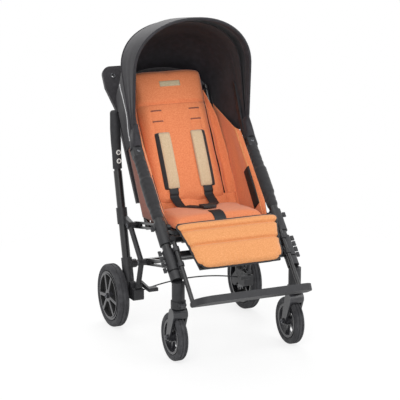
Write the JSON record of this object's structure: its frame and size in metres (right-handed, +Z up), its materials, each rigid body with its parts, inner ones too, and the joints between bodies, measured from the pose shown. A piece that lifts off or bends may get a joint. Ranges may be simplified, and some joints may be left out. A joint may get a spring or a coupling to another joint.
{
  "type": "special needs buggy",
  "caption": "Folding postural-support buggy with reclining padded seat, arched hood, push handles, swivel front casters, braked rear wheels and height-adjustable footrest.",
  "frame": {"origin": "on the floor under the middle of the buggy's bounding box", "axes": "+Z up, -Y the way the buggy faces, +X to its left"},
  "size_m": [0.611, 0.915, 1.1728],
  "materials": {
    "frame": "gloss black powder coat",
    "plastic": "moulded, fine grain",
    "rubber": "soft matte",
    "tyre": "matte",
    "black_cloth": "woven",
    "orange_cloth": "woven melange",
    "rust_cloth": "woven",
    "beige_pad": "brushed"
  },
  "bodies": {
    "front_frame": {"front_tube_left": "frame", "front_tube_right": "frame", "caster_housing_left": "plastic", "caster_housing_right": "plastic", "leg_clamp_left": "plastic", "leg_clamp_right": "plastic", "seat_crossbar": "frame", "lower_crossbar": "frame", "seat_rail_left": "frame", "seat_rail_right": "frame", "seat_board": "plastic", "calf_board": "plastic", "seat_cushion": "orange_cloth", "calf_pad": "orange_cloth", "tube_sleeve_left": "black_cloth", "tube_sleeve_right": "black_cloth", "side_panel_left": "rust_cloth", "side_panel_right": "rust_cloth", "lap_belt": "black_cloth", "crotch_strap": "black_cloth", "hood_mount_left": "plastic", "hood_mount_right": "plastic", "hood_rear": "black_cloth"},
    "upper_rails": {"upper_rail_left": "frame", "upper_rail_right": "frame"},
    "rear_frame": {"rear_tube_left": "frame", "rear_tube_right": "frame", "grip_left": "rubber", "grip_right": "rubber", "rear_strut_left": "plastic", "rear_strut_right": "plastic", "rear_crossbar": "frame", "axle_bracket_left": "plastic", "axle_bracket_right": "plastic", "brake_cable": "rubber"},
    "lower_rails": {"lower_rail_left": "frame", "lower_rail_right": "frame"},
    "backrest": {"back_frame": "frame", "back_shell": "black_cloth", "back_pad": "orange_cloth", "shoulder_pads": "beige_pad", "shoulder_straps": "black_cloth"},
    "hood": {"hood_front": "black_cloth"},
    "caster_left": {"caster_fork_left": "plastic"},
    "caster_right": {"caster_fork_right": "plastic"},
    "front_wheel_left": {"front_rim_left": "plastic", "front_tyre_left": "tyre"},
    "front_wheel_right": {"front_rim_right": "plastic", "front_tyre_right": "tyre"},
    "lock_left": {"swivel_lock_left": "rubber"},
    "lock_right": {"swivel_lock_right": "rubber"},
    "rear_wheel_left": {"rear_rim_left": "plastic", "rear_tyre_left": "tyre"},
    "rear_wheel_right": {"rear_rim_right": "plastic", "rear_tyre_right": "tyre"},
    "pedal_left": {"brake_pedal_left": "plastic"},
    "pedal_right": {"brake_pedal_right": "plastic"},
    "footrest": {"foot_hanger": "frame"},
    "footplate": {"footplate": "plastic"}
  },
  "joints": [
    {"name": "fold", "type": "hinge", "parent": "front_frame", "child": "upper_rails", "pos_m": [0, -0.12487, 0.455], "axis": [-1, 0, 0], "range_deg": [0, 40]},
    {"name": "fold_rear", "type": "hinge", "parent": "upper_rails", "child": "rear_frame", "pos_m": [0, 0.17191, 0.399], "axis": [-1, 0, 0], "range_deg": [-40, 0]},
    {"name": "fold_lower", "type": "hinge", "parent": "front_frame", "child": "lower_rails", "pos_m": [0, -0.23022, 0.338], "axis": [-1, 0, 0], "range_deg": [0, 40]},
    {"name": "recline", "type": "hinge", "parent": "front_frame", "child": "backrest", "pos_m": [0, 0.11157, 0.403], "axis": [-1, 0, 0], "range_deg": [0, 20]},
    {"name": "hood_tilt", "type": "hinge", "parent": "front_frame", "child": "hood", "pos_m": [0, 0.11982, 0.72675], "axis": [-1, 0, 0], "range_deg": [0, 24]},
    {"name": "caster_swivel_left", "type": "hinge", "parent": "front_frame", "child": "caster_left", "pos_m": [0.231, -0.27643, 0], "axis": [0, 0, 1], "continuous": true},
    {"name": "front_wheel_spin_left", "type": "hinge", "parent": "caster_left", "child": "front_wheel_left", "pos_m": [0.231, -0.24343, 0.0875], "axis": [1, 0, 0], "continuous": true},
    {"name": "swivel_lock_left", "type": "hinge", "parent": "front_frame", "child": "lock_left", "pos_m": [0.231, -0.31143, 0.2205], "axis": [1, 0, 0], "range_deg": [0, 25]},
    {"name": "rear_wheel_spin_left", "type": "hinge", "parent": "rear_frame", "child": "rear_wheel_left", "pos_m": [0.277, 0.22657, 0.12], "axis": [1, 0, 0], "continuous": true},
    {"name": "brake_left", "type": "hinge", "parent": "rear_frame", "child": "pedal_left", "pos_m": [0, 0.13157, 0.184], "axis": [1, 0, 0], "range_deg": [0, 14]},
    {"name": "caster_swivel_right", "type": "hinge", "parent": "front_frame", "child": "caster_right", "pos_m": [-0.231, -0.27643, 0], "axis": [0, 0, 1], "continuous": true},
    {"name": "front_wheel_spin_right", "type": "hinge", "parent": "caster_right", "child": "front_wheel_right", "pos_m": [-0.231, -0.24343, 0.0875], "axis": [1, 0, 0], "continuous": true},
    {"name": "swivel_lock_right", "type": "hinge", "parent": "front_frame", "child": "lock_right", "pos_m": [-0.231, -0.31143, 0.2205], "axis": [1, 0, 0], "range_deg": [0, 25]},
    {"name": "rear_wheel_spin_right", "type": "hinge", "parent": "rear_frame", "child": "rear_wheel_right", "pos_m": [-0.277, 0.22657, 0.12], "axis": [1, 0, 0], "continuous": true},
    {"name": "brake_right", "type": "hinge", "parent": "rear_frame", "child": "pedal_right", "pos_m": [0, 0.13157, 0.184], "axis": [1, 0, 0], "range_deg": [0, 14]},
    {"name": "footrest_height", "type": "slide", "parent": "front_frame", "child": "footrest", "axis": [0, -0.6691, -0.7431], "range_m": [-0.02, 0.012]},
    {"name": "footplate_fold", "type": "hinge", "parent": "footrest", "child": "footplate", "pos_m": [0, -0.36178, 0.23374], "axis": [-1, 0, 0], "range_deg": [0, 45]}
  ],
  "couplings": [
    {"joint": "fold_rear", "follows": "fold", "ratio": -1},
    {"joint": "fold_lower", "follows": "fold", "ratio": 1},
    {"joint": "brake_right", "follows": "brake_left", "ratio": 1}
  ]
}
